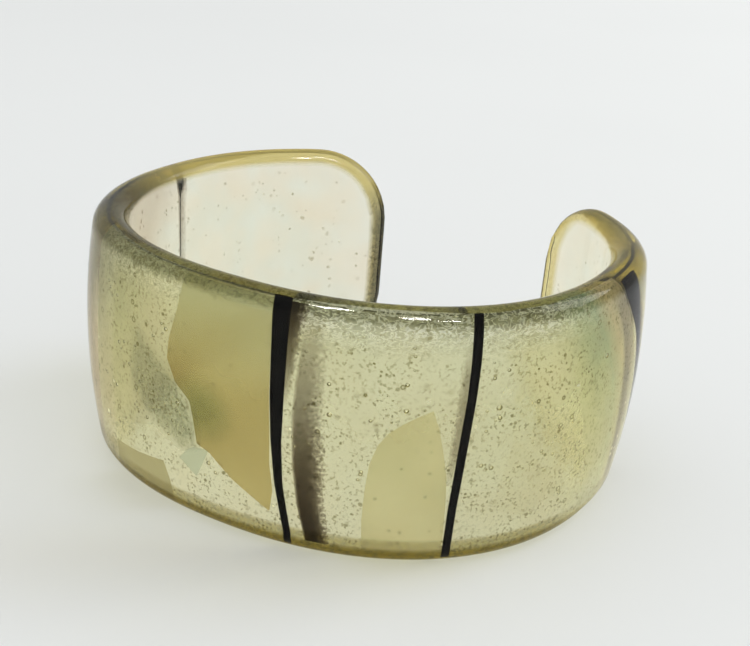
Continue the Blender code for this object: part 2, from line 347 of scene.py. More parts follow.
def rim_tint(x, z, margin):
    """A point's tint, deepest at the rims, along the foot and at the left arm's end, partly the glass's own
    colour and partly painted shade, and its painted glow.
    """
    place = (x - STRIP_LENGTH / 2) / MM
    from_top = (BAND_HEIGHT - z) / MM
    back = max(fade(place, *BACK_RIM_RIGHT), fade(place, *BACK_RIM_LEFT))
    tint = Vector((1, 1, 1)).lerp(Vector(RIM_FRONT).lerp(Vector(RIM_BACK), back), in_rim(margin))
    tint = tint.lerp(Vector(RIM_FOOT_TINT_AND_SHADE), fade(z / MM, *FOOT_BAND) * (1 - back))
    end = fade(x / MM, *LEFT_END_BAND) * fade(from_top, *LEFT_END_CORNER)
    glow = fade(place, *BACK_RIM_LEFT) + RIGHT_END_GLOW * fade(place, *RIGHT_END)
    return [*tint.lerp(Vector(RIM_END_TINT_AND_SHADE), end), RIM_GLOW * glow * in_rim(margin) * (1 - end)]


def make_strip(name, material, inset, rim_stops, spacing, inner, outer):
    """A strip between two faces: inner and outer give their depths for a place and its margin."""
    columns = stops(STRIP_LENGTH, inset, rim_stops, spacing[0])
    rows = stops(BAND_HEIGHT, inset, rim_stops, spacing[1])
    clear_selection()
    bpy.ops.mesh.primitive_grid_add(x_subdivisions=len(columns) - 1, y_subdivisions=len(rows) - 1, size=1)
    piece = name_piece(name, material)
    bpy.ops.object.mode_set(mode="EDIT")
    bpy.ops.mesh.select_all(action="SELECT")
    bpy.ops.mesh.extrude_region_move(TRANSFORM_OT_translate={"value": (0, 0, 1)})
    bpy.ops.object.mode_set(mode="OBJECT")
    rim = []
    for vertex in piece.data.vertices:
        x = columns[round((vertex.co.x + 0.5) * (len(columns) - 1))]
        z = rows[round((vertex.co.y + 0.5) * (len(rows) - 1))]
        margin = min(x, STRIP_LENGTH - x, z, BAND_HEIGHT - z)
        face = outer if vertex.co.z > 0.5 else inner
        rim.extend(rim_tint(x, z, margin))
        x, z = round_corner(x, z, inset)
        vertex.co = (x, face(x, z, margin), z)
    tint = piece.data.attributes.new("rim", "FLOAT_COLOR", "POINT")
    tint.data.foreach_set("color", rim)
    return piece


def rounding(margin):
    """The rim's round section: 0 at the edge and 1 where the wall is full."""
    reach = min(margin / RIM_ROUND, 1)
    return math.sqrt(max(0, 1 - (1 - reach) ** 2))


def dome(x, z):
    """How far the cap stands proud of a flat strip."""
    from_middle = 2 * z / BAND_HEIGHT - 1
    from_crown = 2 * x / STRIP_LENGTH - 1
    return CROWN * (1 - from_middle ** 2) * (1 - from_crown ** 10)


def cap_outside(x, z, margin):
    """The cap's domed outside, rolled in to the joint at the rims."""
    share = rounding(margin)
    return JOINT * 2 + (OUTER_FACE - JOINT * 2) * share + dome(x, z) * share


def cap_underside(x, z, margin):
    """The joint along the rims, and the floor of the cap's pocket within them."""
    return JOINT if margin <= RIM_LIP else POCKET_FLOOR


def base_inside(x, z, margin):
    """The wrist side, rolled out to the joint at the rims."""
    return -JOINT * 2 + (WRIST_FACE + JOINT * 2) * rounding(margin)


def base_outside(x, z, margin):
    """The joint's side of the base."""
    return -JOINT


RIM_STOPS = [RIM_ROUND * (1 - math.cos(math.pi / 2 * i / 7)) for i in range(8)] + [2.4 * MM]
CAP_STOPS = sorted(RIM_STOPS + [RIM_LIP, RIM_LIP + 0.02 * MM])


def mark_fused(piece, depths):
    """Flat layout: marks the faces that lie at these depths as fused to the next piece of glass."""
    mark = piece.data.attributes.new("fused", "FLOAT", "FACE")
    for face in piece.data.polygons:
        levels = [piece.data.vertices[i].co.y for i in face.vertices]
        if all(any(abs(level - depth) < JOINT / 2 for depth in depths) for level in levels):
            mark.data[face.index].value = 1


def keep_traits(piece, traits):
    """Stores a number for each point of a piece under each name, for its material to read."""
    for name, values in traits.items():
        trait = piece.data.attributes.new(name, "FLOAT", "POINT")
        trait.data.foreach_set("value", values)


# ---- marks laid on the sheet ----

def eased(places, height):
    """A mark's centre, width and so on at a height, from its few measured points."""
    for upper, lower in zip(places, places[1:]):
        if height >= lower[1]:
            break
    share = max(0, min(1, (upper[1] - height) / (upper[1] - lower[1])))
    return [a + (b - a) * share for a, b in zip(upper, lower)]


def round_ends(rod):
    """Rounds over both ends of an upright rod."""
    bpy.ops.object.mode_set(mode="EDIT")
    bpy.ops.mesh.select_all(action="DESELECT")
    bpy.ops.object.mode_set(mode="OBJECT")
    for face in rod.data.polygons:
        face.select = abs(face.normal.z) > 0.9
    bpy.ops.object.mode_set(mode="EDIT")
    bpy.ops.mesh.inset(thickness=0.25, depth=0)
    bpy.ops.object.mode_set(mode="OBJECT")
    for face in rod.data.polygons:
        if face.select:
            for i in face.vertices:
                rod.data.vertices[i].co.z *= 1.015


def make_rod(name, places, material):
    """A stringer: a rod with domed ends, run down through its places and pressed flat."""
    clear_selection()
    bpy.ops.mesh.primitive_cylinder_add(vertices=16, radius=1, depth=1, location=(0, 0, 0))
    rod = name_piece(name, material)
    top = places[0][1]
    bottom = places[-1][1]
    round_ends(rod)
    bpy.ops.object.mode_set(mode="EDIT")
    for i in range(1, ROD_STEPS):
        bpy.ops.mesh.select_all(action="SELECT")
        bpy.ops.mesh.bisect(plane_co=(0, 0, i / ROD_STEPS - 0.5), plane_no=(0, 0, 1), threshold=0.0001)
    bpy.ops.object.mode_set(mode="OBJECT")
    thickness = MARK_TOP - MARK_BOTTOM
    for vertex in rod.data.vertices:
        height = bottom + (top - bottom) * (vertex.co.z + 0.5)
        place, _, width = eased(places, height)
        across = vertex.co.x * width / 2
        vertex.co = (along(place + across), MARK_BOTTOM + thickness * (vertex.co.y + 1) / 2, height * MM)
    return rod


def make_film(name, places, material):
    """Dark see-through film: a thin ribbon that knows how far across it each point is and how dark it is
    there.
    """
    clear_selection()
    bpy.ops.mesh.primitive_grid_add(x_subdivisions=FILM_STEPS[0], y_subdivisions=FILM_STEPS[1], size=1)
    film = name_piece(name, material)
    bpy.ops.object.mode_set(mode="EDIT")
    bpy.ops.mesh.select_all(action="SELECT")
    bpy.ops.mesh.extrude_region_move(TRANSFORM_OT_translate={"value": (0, 0, 1)})
    bpy.ops.object.mode_set(mode="OBJECT")
    traits = {"across": [], "dark": []}
    top = places[0][1]
    bottom = places[-1][1]
    for vertex in film.data.vertices:
        height = bottom + (top - bottom) * (vertex.co.y + 0.5)
        place, _, width, depth = eased(places, height)
        traits["across"].append(vertex.co.x + 0.5)
        traits["dark"].append(depth)
        level = FILM_TOP if vertex.co.z > 0.5 else FILM_BOTTOM
        vertex.co = (along(place + vertex.co.x * width), level, height * MM)
    keep_traits(film, traits)
    return film


def make_flake(name, outline, material):
    """A shard: a flat outline given its thickness, cut across so that it bends."""
    clear_selection()
    curve = bpy.data.curves.new(name, "CURVE")
    curve.dimensions = "2D"
    curve.fill_mode = "BOTH"
    curve.extrude = (MARK_TOP - MARK_BOTTOM) / 2
    spline = curve.splines.new("POLY")
    spline.points.add(len(outline) - 1)
    spline.use_cyclic_u = True
    for point, (place, height) in zip(spline.points, outline):
        point.co = (along(place), height * MM, 0, 1)
    flake = bpy.data.objects.new(name, curve)
    flake.rotation_euler = (math.pi / 2, 0, 0)
    flake.location = (0, (MARK_BOTTOM + MARK_TOP) / 2, 0)
    bpy.context.scene.collection.objects.link(flake)
    take(flake)
    bpy.ops.object.convert(target="MESH")
    bpy.ops.object.transform_apply(location=True, rotation=True, scale=True)
    flake = name_piece(name, material)
    bpy.ops.object.mode_set(mode="EDIT")
    bpy.ops.mesh.select_all(action="SELECT")
    bpy.ops.mesh.remove_doubles(threshold=0.001 * MM)
    bpy.ops.mesh.dissolve_limited(angle_limit=math.radians(1))
    first = min(place for place, height in outline)
    last = max(place for place, height in outline)
    count = math.ceil((last - first) * MM / FLAKE_STEP)
    for i in range(1, count):
        bpy.ops.mesh.select_all(action="SELECT")
        cut = along(first + (last - first) * i / count)
        bpy.ops.mesh.bisect(plane_co=(cut, 0, 0), plane_no=(1, 0, 0), threshold=0.01 * MM)
    bpy.ops.object.mode_set(mode="OBJECT")
    return flake


def inside(outline, x, z):
    """True if a place on the flat strip is inside this outline."""
    hit = False
    for (x1, z1), (x2, z2) in zip(outline, outline[1:] + outline[:1]):
        if (z1 > z) != (z2 > z) and x < (x2 - x1) * (z - z1) / (z2 - z1) + x1:
            hit = not hit
    return hit


def reach_inside(outline, x, z):
    """How far inside an outline a place is, in millimetres; negative outside."""
    nearest = 9
    for (x1, z1), (x2, z2) in zip(outline, outline[1:] + outline[:1]):
        span = (x2 - x1) ** 2 + (z2 - z1) ** 2
        share = max(0, min(1, ((x - x1) * (x2 - x1) + (z - z1) * (z2 - z1)) / span))
        nearest = min(nearest, math.hypot(x1 + (x2 - x1) * share - x, z1 + (z2 - z1) * share - z))
    return nearest if inside(outline, x, z) else -nearest


def scatter(name, material, places, subdivisions):
    """Copies one small ball to every place (x, depth, z, radius, squash, turn) and joins them."""
    clear_selection()
    bpy.ops.mesh.primitive_ico_sphere_add(subdivisions=subdivisions, radius=1, location=(0, 0, 0))
    first = name_piece(name, material)
    copies = []
    for x, depth, z, radius, squash, turn in places:
        copy = bpy.data.objects.new(name + "_copy", first.data.copy())
        size = Matrix.Diagonal((radius, radius * squash, radius, 1))
        turned = Matrix.Rotation(turn, 4, (0.6, 0.5, 0.62))
        copy.data.transform(Matrix.Translation((x, depth, z)) @ size @ turned)
        bpy.context.scene.collection.objects.link(copy)
        copies.append(copy)
    bpy.data.objects.remove(first)
    take(copies[0])
    for copy in copies:
        copy.select_set(True)
    bpy.ops.object.join()
    joined = bpy.context.object
    joined.name = name
    joined.data.name = name
    return joined


def frit_places():
    """Grains sprinkled over the frit patch."""
    chance = random.Random(FRIT_SEED)
    outline = SHARDS["frit_patch"]
    places = []
    while len(places) < FRIT_GRAINS:
        x = chance.uniform(-14, -2)
        z = chance.uniform(8, 21)
        if inside(outline, x, z):
            radius = chance.uniform(*FRIT_RADIUS) * MM
            places.append((along(x), MARK_BOTTOM, z * MM, radius, 0.7, chance.uniform(0, 6)))
    return places


def bubble_places():
    """The larger bubbles where they lie, and small ones in loose clusters between them."""
    chance = random.Random(BUBBLE_SEED)
    depth = POCKET_FLOOR + 0.6 * MM
    places = [(along(x), depth, z * MM, radius * MM * 0.8, 0.8, 0) for x, z, radius in BIG_BUBBLES]
    while len(places) < ALL_BUBBLES:
        cluster = (chance.uniform(-74, 74), chance.uniform(5, 25))
        for i in range(chance.randint(1, 4)):
            x = cluster[0] + chance.gauss(0, CLUSTER_SPREAD)
            z = cluster[1] + chance.gauss(0, CLUSTER_SPREAD)
            radius = chance.uniform(*SMALL_BUBBLE_RADIUS) * MM
            if abs(x) > 38:
                radius = radius * 0.45
            covered = any(inside(SHARDS[name], x, z) for name in ("olive_shard", "leaf_shard"))
            covered = covered or any(abs(x - middle) < reach for middle, reach in BUBBLE_FREE)
            if not covered:
                places.append((along(x), POCKET_FLOOR + 0.35 * MM, z * MM, radius, 0.85, 0))
    return places


# ---- materials ----

def add(tree, kind, inputs=None, **settings):
    """Adds a node, sets it up, and fills or links its inputs."""
    made = tree.nodes.new("ShaderNode" + kind)
    for key, value in settings.items():
        setattr(made, key, value)
    for key, value in (inputs or {}).items():
        socket = made.inputs[key]
        if isinstance(value, bpy.types.NodeSocket):
            tree.links.new(value, socket)
        elif isinstance(value, bpy.types.Node):
            tree.links.new(value.outputs[0], socket)
        else:
            socket.default_value = value
    return made


def new_material(name):
    """An empty material with its output node."""
    material = bpy.data.materials.new(name)
    material.use_nodes = True
    material.node_tree.nodes.clear()
    output = material.node_tree.nodes.new("ShaderNodeOutputMaterial")
    return material, material.node_tree, output


def ramp(tree, factor, *colour_stops):
    """A colour ramp through (place, colour) stops. A colour may be one grey value."""
    made = add(tree, "ValToRGB", {"Fac": factor})
    elements = made.color_ramp.elements
    while len(elements) < len(colour_stops):
        elements.new(0.5)
    for element, (place, colour) in zip(elements, colour_stops):
        element.position = place
        element.color = (*colour, 1) if isinstance(colour, tuple) else (colour, colour, colour, 1)
    return made


def mix_colours(tree, factor, first, second, blend="MIX"):
    """Two colours mixed by a factor."""
    made = tree.nodes.new("ShaderNodeMix")
    made.data_type = "RGBA"
    made.blend_type = blend
    for socket, value in ((made.inputs[0], factor), (made.inputs[6], first), (made.inputs[7], second)):
        if isinstance(value, bpy.types.Node):
            value = value.outputs[0]
        if isinstance(value, bpy.types.NodeSocket):
            tree.links.new(value, socket)
        elif isinstance(value, tuple):
            socket.default_value = (*value, 1)
        else:
            socket.default_value = value
    return made.outputs[2]


def maths(tree, operation, first, second=0.0, clamp=False):
    """One sum on two numbers or sockets."""
    return add(tree, "Math", {0: first, 1: second}, operation=operation, use_clamp=clamp).outputs[0]


def product(tree, first, *others):
    """Several numbers or sockets multiplied together, in order."""
    for other in others:
        first = maths(tree, "MULTIPLY", first, other)
    return first


def remap(tree, value, low, high, start=0.0, end=1.0):
    """A number carried from one range to another and held inside it."""
    return add(tree, "MapRange", {0: value, 1: low, 2: high, 3: start, 4: end}, clamp=True).outputs[0]


def clouds_of(tree, place, scale, detail):
    """Soft random clouds."""
    return add(tree, "TexNoise", {"Vector": place, "Scale": scale, "Detail": detail}).outputs[0]


def trait_of(tree, name):
    """A number kept on the piece's points or faces."""
    return add(tree, "Attribute", attribute_name=name).outputs["Fac"]


def ragged_place(tree, place, scale, reach):
    """The place, pushed about at random so that spots read from it have ragged edges."""
    jitter = add(tree, "TexNoise", {"Vector": place, "Scale": scale, "Detail": 1.0}).outputs["Color"]
    shift = add(tree, "VectorMath", {0: jitter, 1: reach}, operation="MULTIPLY").outputs[0]
    return add(tree, "VectorMath", {0: place, 1: shift}, operation="ADD").outputs[0]


def let_lamps_through(tree, shader, tint):
    """Glass that the camera sees as glass and that soft light crosses with this tint."""
    ray = add(tree, "LightPath")
    clear = add(tree, "BsdfTransparent", {"Color": (*tint, 1)})
    soft = add(tree, "MixShader", {0: ray.outputs["Is Diffuse Ray"], 1: shader, 2: clear})
    return add(tree, "MixShader", {0: ray.outputs["Is Shadow Ray"], 1: soft, 2: clear})


def fuse(tree, shader):
    """Hides the faces where base and cap are one body of glass."""
    fused = trait_of(tree, "fused")
    gone = add(tree, "BsdfTransparent", {"Color": (1, 1, 1, 1)})
    return add(tree, "MixShader", {0: fused, 1: shader, 2: gone})


def body_material(name, roughness, waves, strength):
    """Pale glass with faint waves, mustard at the rims where light runs round inside it; the rim tint is
    partly painted shade, and the brightest rim has a painted glow.
    """
    material, tree, output = new_material(name)
    place = add(tree, "TexCoord").outputs["Object"]
    wave = clouds_of(tree, place, waves, 1.0)
    bump = add(tree, "Bump", {"Strength": strength, "Distance": 0.0005, "Height": wave})
    traits = add(tree, "Attribute", attribute_name="rim")
    rim = traits.outputs["Color"]
    red = add(tree, "SeparateColor", {0: rim}).outputs[0]
    speckle = remap(tree, clouds_of(tree, place, 2600.0, 1.0), 0.5, 0.62)
    speckle = product(tree, speckle, maths(tree, "SUBTRACT", 1.0, red))
    tint = mix_colours(tree, speckle, rim, (0.14, 0.15, 0.10))
    bent = add(tree, "BsdfRefraction", {
        "Color": tint, "Roughness": roughness, "IOR": GLASS_IOR, "Normal": bump,
    })
    shine = add(tree, "BsdfGlossy", {"Color": (1, 1, 1, 1), "Roughness": roughness, "Normal": bump})
    mirror = maths(tree, "POWER", add(tree, "Fresnel", {"IOR": GLASS_IOR, "Normal": bump}).outputs[0], 1.5)
    # Painted glow: cloudy glass in the rim's deep tint, so the rim looks lit from within.
    deep = mix_colours(tree, 1.0, rim, rim, "MULTIPLY")
    glow = translucent(tree, deep, deep, 0.5)
    body = add(tree, "MixShader", {0: traits.outputs["Alpha"], 1: bent, 2: glow})
    glass = add(tree, "MixShader", {0: mirror, 1: body, 2: shine})
    surface = fuse(tree, let_lamps_through(tree, glass, CROSSING))
    tree.links.new(surface.outputs[0], output.inputs["Surface"])
    absorb = add(tree, "VolumeAbsorption", {"Color": GLASS_TINT, "Density": GLASS_DENSITY})
    tree.links.new(absorb.outputs[0], output.inputs["Volume"])
    return material


def translucent(tree, colour, through, share, normal=None):
    """A cloudy glass body: part of the light is scattered back and part comes through."""
    inputs = {"Color": colour}
    if normal is not None:
        inputs["Normal"] = normal
    front = add(tree, "BsdfDiffuse", inputs)
    back = add(tree, "BsdfTranslucent", {"Color": through})
    return add(tree, "MixShader", {0: share, 1: front, 2: back})


def seen_through(tree, tint, roughness, normal=None):
    """Glass inside glass that bends light by its own relief."""
    inputs = {"Color": tint, "Roughness": roughness, "IOR": SHEET_IOR}
    if normal is not None:
        inputs["Normal"] = normal
    return add(tree, "BsdfRefraction", inputs)


def specks(tree, place, scale, share, size):
    """Small irregular spots, 1 inside: this share of the cells has one."""
    cells = add(tree, "TexVoronoi", {"Vector": place, "Scale": scale})
    pick = add(tree, "SeparateColor", {0: cells.outputs["Color"]}).outputs[0]
    spot = remap(tree, cells.outputs["Distance"], size, size * 0.6)
    return product(tree, spot, maths(tree, "GREATER_THAN", pick, 1 - share))


def rings(tree, place, scale, share, size):
    """Seeds of trapped air: thin rings, 1 on the line."""
    cells = add(tree, "TexVoronoi", {"Vector": place, "Scale": scale, "Randomness": 0.8})
    pick = add(tree, "SeparateColor", {0: cells.outputs["Color"]}).outputs[1]
    off = maths(tree, "ABSOLUTE", maths(tree, "SUBTRACT", cells.outputs["Distance"], size))
    line = remap(tree, off, size * 0.35, size * 0.1)
    return product(tree, line, maths(tree, "GREATER_THAN", pick, 1 - share))


def sheet_seeds(tree, place, ragged, grain, panel, bare):
    """Dark seeds: crowded in groups over the panel, a few in the clear glass, none under a shard."""
    crowd = remap(tree, clouds_of(tree, place, 380.0, 2.0), 0.4, 0.58, 0.35, 1.0)
    dashes = remap(tree, grain, 0.54, 0.66, 0.0, 0.7)
    fine = specks(tree, ragged, 1500.0, 0.42, 0.27)
    coarse = specks(tree, ragged, 800.0, 0.28, 0.23)
    dark = maths(tree, "MAXIMUM", maths(tree, "MAXIMUM", fine, coarse), dashes)
    dark = maths(tree, "MAXIMUM", product(tree, dark, crowd), rings(tree, place, 620.0, 0.12, 0.17))
    few = product(tree, specks(tree, ragged, 620.0, 0.08, 0.14), 0.6)
    return product(tree, maths(tree, "MAXIMUM", product(tree, dark, panel), few), bare)


def sheet_ripples(tree, place, high, bare):
    """Wormlike ripples under the top rim: first their crests, then the troughs between them."""
    stretched = add(tree, "Mapping", {0: place}, vector_type="POINT")
    stretched.inputs["Scale"].default_value = (0.8, 0.8, 1.6)
    worms = add(tree, "TexNoise", {
        "Vector": stretched.outputs[0], "Scale": 1500.0, "Detail": 1.0, "Distortion": 1.2,
    }).outputs[0]
    ridge = maths(tree, "ABSOLUTE", maths(tree, "SUBTRACT", worms, 0.5))
    crest = remap(tree, ridge, 0.04, 0.065, 1.0, 0.0)
    trough = remap(tree, ridge, 0.075, 0.11)
    return product(tree, crest, high, bare), product(tree, trough, high, bare)


def sheet_tint(tree, place, drift, painted_shade_rise, from_edge, panel):
    """What comes through: olive on the panel, deeper to the left and in the frit, and paler towards the
    foot as painted light; clear beyond it.
    """
    # A pinkish-beige strip left of the panel: iridescent sheen painted by place.
    left_strip = remap(tree, from_edge, 74.0, 78.0)
    left_strip = product(tree, left_strip, remap(tree, from_edge, 90.0, 98.0, 1.0, 0.0))
    clear = ramp(tree, drift, (0.35, (1.0, 0.96, 0.92)), (0.65, (0.96, 0.99, 1.0)))
    clear = mix_colours(tree, left_strip, clear, (0.78, 0.71, 0.66))
    olive = mix_colours(tree, painted_shade_rise, (0.99, 0.98, 0.82), (0.86, 0.87, 0.66))
    sprinkled = remap(tree, trait_of(tree, "frit"), -0.9, 1.0)
    powder = clouds_of(tree, place, 4000.0, 2.0)
    powder = ramp(tree, powder, (0.42, (0.18, 0.21, 0.13)), (0.58, (0.72, 0.75, 0.64)))
    olive = mix_colours(tree, sprinkled, olive, mix_colours(tree, 1.0, olive, powder, "MULTIPLY"))
    left_share = remap(tree, from_edge, 56.0, 72.0)
    olive = mix_colours(tree, product(tree, left_share, painted_shade_rise), olive, (0.65, 0.64, 0.48))
    return mix_colours(tree, panel, clear, olive)


def sheet_lustre(tree, drift, height, dark, from_edge, panel, bump):
    """The iridised film as painted sheen: colours that shift with the angle of view are laid on by place,
    tan at the panel's right edge and green further in, and how strong it is.
    """
    film = ramp(
        tree, maths(tree, "DIVIDE", from_edge, 20.0), (0.0, (0.86, 0.70, 0.52)), (0.2, (0.84, 0.68, 0.48)),
        (0.34, (0.36, 0.58, 0.47)), (0.5, (0.42, 0.58, 0.42)), (0.75, (0.70, 0.66, 0.40)),
    )
    near = remap(tree, from_edge, 6.0, 14.0, 0.42, 0.05)
    top_most = remap(tree, height, 0.006, 0.024, 0.35, 1.1)
    patchy = remap(tree, drift, 0.3, 0.7, 0.7, 1.2)
    shine = product(tree, product(tree, near, patchy), product(tree, panel, top_most))
    shine = product(tree, shine, maths(tree, "SUBTRACT", 1.0, product(tree, dark, 0.8)))
    gloss = add(tree, "BsdfGlossy", {"Color": film, "Roughness": 0.4, "Normal": bump})
    glow = add(tree, "BsdfTranslucent", {"Color": film, "Normal": bump})
    return add(tree, "MixShader", {0: 0.5, 1: gloss, 2: glow}), shine


def sheet_outside_material():
    """The seedy, iridised panel that shows through the cap, rippled under the top rim; clear beyond it."""
    material, tree, output = new_material("iridised_outside")
    place = add(tree, "TexCoord").outputs["Object"]
    height = add(tree, "SeparateXYZ", {0: place}).outputs[2]
    from_edge = trait_of(tree, "film")
    panel = remap(tree, trait_of(tree, "panel"), -0.1, 0.1)
    bare = remap(tree, trait_of(tree, "under_shard"), -0.1, 0.1, 1.0, 0.0)
    high = product(tree, remap(tree, height, 0.0242, 0.0276), trait_of(tree, "ripple"))
    # Painted light: the sheet is paler towards the foot and darker up the wall.
    painted_shade_rise = remap(tree, height, 0.003, 0.024)
    ragged = ragged_place(tree, place, 1800.0, (0.0003, 0.0003, 0.0003))
    drift = clouds_of(tree, place, 170.0, 2.0)
    grain = clouds_of(tree, place, 2600.0, 2.0)
    dark = sheet_seeds(tree, place, ragged, grain, panel, bare)
    light, trough = sheet_ripples(tree, place, high, bare)
    relief = maths(tree, "ADD", product(tree, grain, 0.4), product(tree, light, 0.8))
    relief = product(tree, relief, bare, panel)
    bump = add(tree, "Bump", {"Strength": 0.4, "Distance": 0.0001, "Height": relief})

    shaded = product(tree, trough, 0.68)
    seeded = product(tree, dark, 0.8)
    through = sheet_tint(tree, place, drift, painted_shade_rise, from_edge, panel)
    through = mix_colours(tree, shaded, through, (0.40, 0.41, 0.30))
    through = mix_colours(tree, seeded, through, (0.24, 0.21, 0.05))
    clear = seen_through(tree, through, 0.2, bump)

    # Paler towards the foot here too: painted light.
    pale = mix_colours(tree, painted_shade_rise, (0.93, 0.92, 0.74), (0.80, 0.82, 0.62))
    pale = mix_colours(tree, shaded, pale, (0.34, 0.35, 0.25))
    pale = mix_colours(tree, seeded, pale, (0.24, 0.21, 0.07))
    pale = mix_colours(tree, light, pale, (0.96, 0.98, 0.90))
    glint = product(tree, specks(tree, ragged, 560.0, 0.14, 0.16), bare, panel)
    pale = mix_colours(tree, glint, pale, (1.0, 0.98, 0.78))
    milk = translucent(tree, pale, pale, 0.6, bump)
    cloud = maths(tree, "ADD", product(tree, light, 0.6), product(tree, high, 0.15))
    cloud = maths(tree, "ADD", cloud, product(tree, glint, 0.8))
    cloud = maths(tree, "MULTIPLY", maths(tree, "ADD", cloud, 0.2), panel, clamp=True)
    body = add(tree, "MixShader", {0: maths(tree, "ADD", cloud, 0.04), 1: clear, 2: milk})

    lustre, shine = sheet_lustre(tree, drift, height, dark, from_edge, panel, bump)
    shader = add(tree, "MixShader", {0: shine, 1: body, 2: lustre})
    surface = let_lamps_through(tree, shader, CROSSING)
    tree.links.new(surface.outputs[0], output.inputs["Surface"])
    return material


def sheet_inside_material():
    """The sheet's smooth back, with fine dark seeds."""
    material, tree, output = new_material("iridised_inside")
    place = add(tree, "TexCoord").outputs["Object"]
    clouds = clouds_of(tree, place, 160.0, 3.0)
    ragged = ragged_place(tree, place, 900.0, (0.0008, 0.0008, 0.0005))
    fine = specks(tree, ragged, 900.0, 0.3, 0.26)
    seed = maths(tree, "MAXIMUM", specks(tree, ragged, 520.0, 0.3, 0.22), fine)
    seed = product(tree, seed, remap(tree, clouds, 0.45, 0.6))
    through = ramp(tree, clouds, (0.35, (0.98, 0.98, 0.97)), (0.65, (0.97, 0.935, 0.89)))
    through = mix_colours(tree, product(tree, seed, 0.65), through, (0.5, 0.45, 0.34))
    clear = seen_through(tree, through, 0.2)
    milk = translucent(tree, (0.9, 0.89, 0.8, 1), (0.9, 0.89, 0.8, 1), 0.6)
    shader = add(tree, "MixShader", {0: 0.06, 1: clear, 2: milk})
    surface = let_lamps_through(tree, shader, (1, 1, 1))
    tree.links.new(surface.outputs[0], output.inputs["Surface"])
    return material


def black_material():
    """Opaque black glass."""
    material, tree, output = new_material("black_glass")
    place = add(tree, "TexCoord").outputs["Object"]
    streaks = clouds_of(tree, place, 700.0, 2.0)
    tone = ramp(tree, streaks, (0.3, (0.001, 0.0008, 0.001)), (0.7, (0.004, 0.003, 0.003)))
    glass = add(tree, "BsdfPrincipled", {
        "Base Color": tone, "Roughness": 0.3, "IOR": GLASS_IOR, "Specular IOR Level": 0.05,
    })
    tree.links.new(glass.outputs[0], output.inputs["Surface"])
    return material


def dark_film_material():
    """A thin dark film: it darkens what lies under it, and thins out raggedly to its edges. It makes the
    band beside the front-left stringer and the painted shade beside the stringers.
    """
    material, tree, output = new_material("dark_film")
    place = add(tree, "TexCoord").outputs["Object"]
    across = trait_of(tree, "across")
    grain = clouds_of(tree, place, 2400.0, 2.0)
    ragged = maths(tree, "ADD", across, product(tree, maths(tree, "SUBTRACT", grain, 0.5), 0.7))
    left = remap(tree, across, 0.0, 0.12)
    right = remap(tree, ragged, 1.0, 0.5)
    amount = product(tree, left, right, trait_of(tree, "dark"))
    shares = [maths(tree, "POWER", math.e, product(tree, amount, -loss)) for loss in (0.5, 0.55, 0.6)]
    tint = add(tree, "CombineColor", dict(enumerate(shares)))
    film = add(tree, "BsdfTransparent", {"Color": tint})
    tree.links.new(film.outputs[0], output.inputs["Surface"])
    return material


def shard_material(name, low, high, cloud, pale_top_and_frit_shadow=False):
    """Smooth coloured glass, a little cloudy, with soft drifts of tone and a few specks."""
    material, tree, output = new_material(name)
    place = add(tree, "TexCoord").outputs["Object"]
    drift = clouds_of(tree, place, 70.0, 1.0)
    tint = ramp(tree, drift, (0.35, low), (0.65, high))
    if pale_top_and_frit_shadow:
        height = add(tree, "SeparateXYZ", {0: place}).outputs[2]
        tint = mix_colours(tree, remap(tree, height, 0.017, 0.028), tint, (0.85, 0.86, 0.76))
        # The frit patch's shadow, painted on the shard as a dark olive patch.
        spot = add(tree, "Mapping", {0: place}, vector_type="POINT")
        spot.inputs["Scale"].default_value = [1 / size for size in FRIT_SHADOW_SIZE]
        spot.inputs["Location"].default_value = [-at / size for at, size in zip(FRIT_SHADOW_PLACE, FRIT_SHADOW_SIZE)]
        frit_shadow = add(tree, "TexGradient", {0: spot}, gradient_type="SPHERICAL").outputs["Fac"]
        tint = mix_colours(tree, remap(tree, frit_shadow, 0.0, 0.8, 0.0, 0.55), tint, (0.46, 0.50, 0.30))
    dark = product(tree, specks(tree, place, 500.0, 0.3, 0.14), 0.25)
    tint = mix_colours(tree, dark, tint, (0.25, 0.24, 0.08))
    clear = add(tree, "BsdfTransparent", {"Color": tint})
    milk = translucent(tree, tint, tint, 0.6)
    shader = add(tree, "MixShader", {0: cloud, 1: clear, 2: milk})
    surface = let_lamps_through(tree, shader, high)
    tree.links.new(surface.outputs[0], output.inputs["Surface"])
    return material


def frit_material():
    """Grey-green ground glass."""
    material, tree, output = new_material("frit")
    place = add(tree, "TexCoord").outputs["Object"]
    tones = clouds_of(tree, place, 1600.0, 2.0)
    body = ramp(tree, tones, (0.35, (0.30, 0.30, 0.16)), (0.65, (0.56, 0.58, 0.40)))
    cloudy = translucent(tree, body, body, 0.5)
    clear = add(tree, "BsdfTransparent", {"Color": (0.75, 0.77, 0.68, 1)})
    shader = add(tree, "MixShader", {0: 0.5, 1: cloudy, 2: clear})
    surface = let_lamps_through(tree, shader, (0.8, 0.8, 0.8))
    tree.links.new(surface.outputs[0], output.inputs["Surface"])
    return material


def bubble_material():
    """Air: light bends the other way where it enters a bubble."""
    material, tree, output = new_material("trapped_air")
    air = add(tree, "BsdfGlass", {"Color": (1, 1, 1, 1), "Roughness": 0.0, "IOR": 1 / GLASS_IOR})
    surface = let_lamps_through(tree, air, (1, 1, 1))
    tree.links.new(surface.outputs[0], output.inputs["Surface"])
    return material


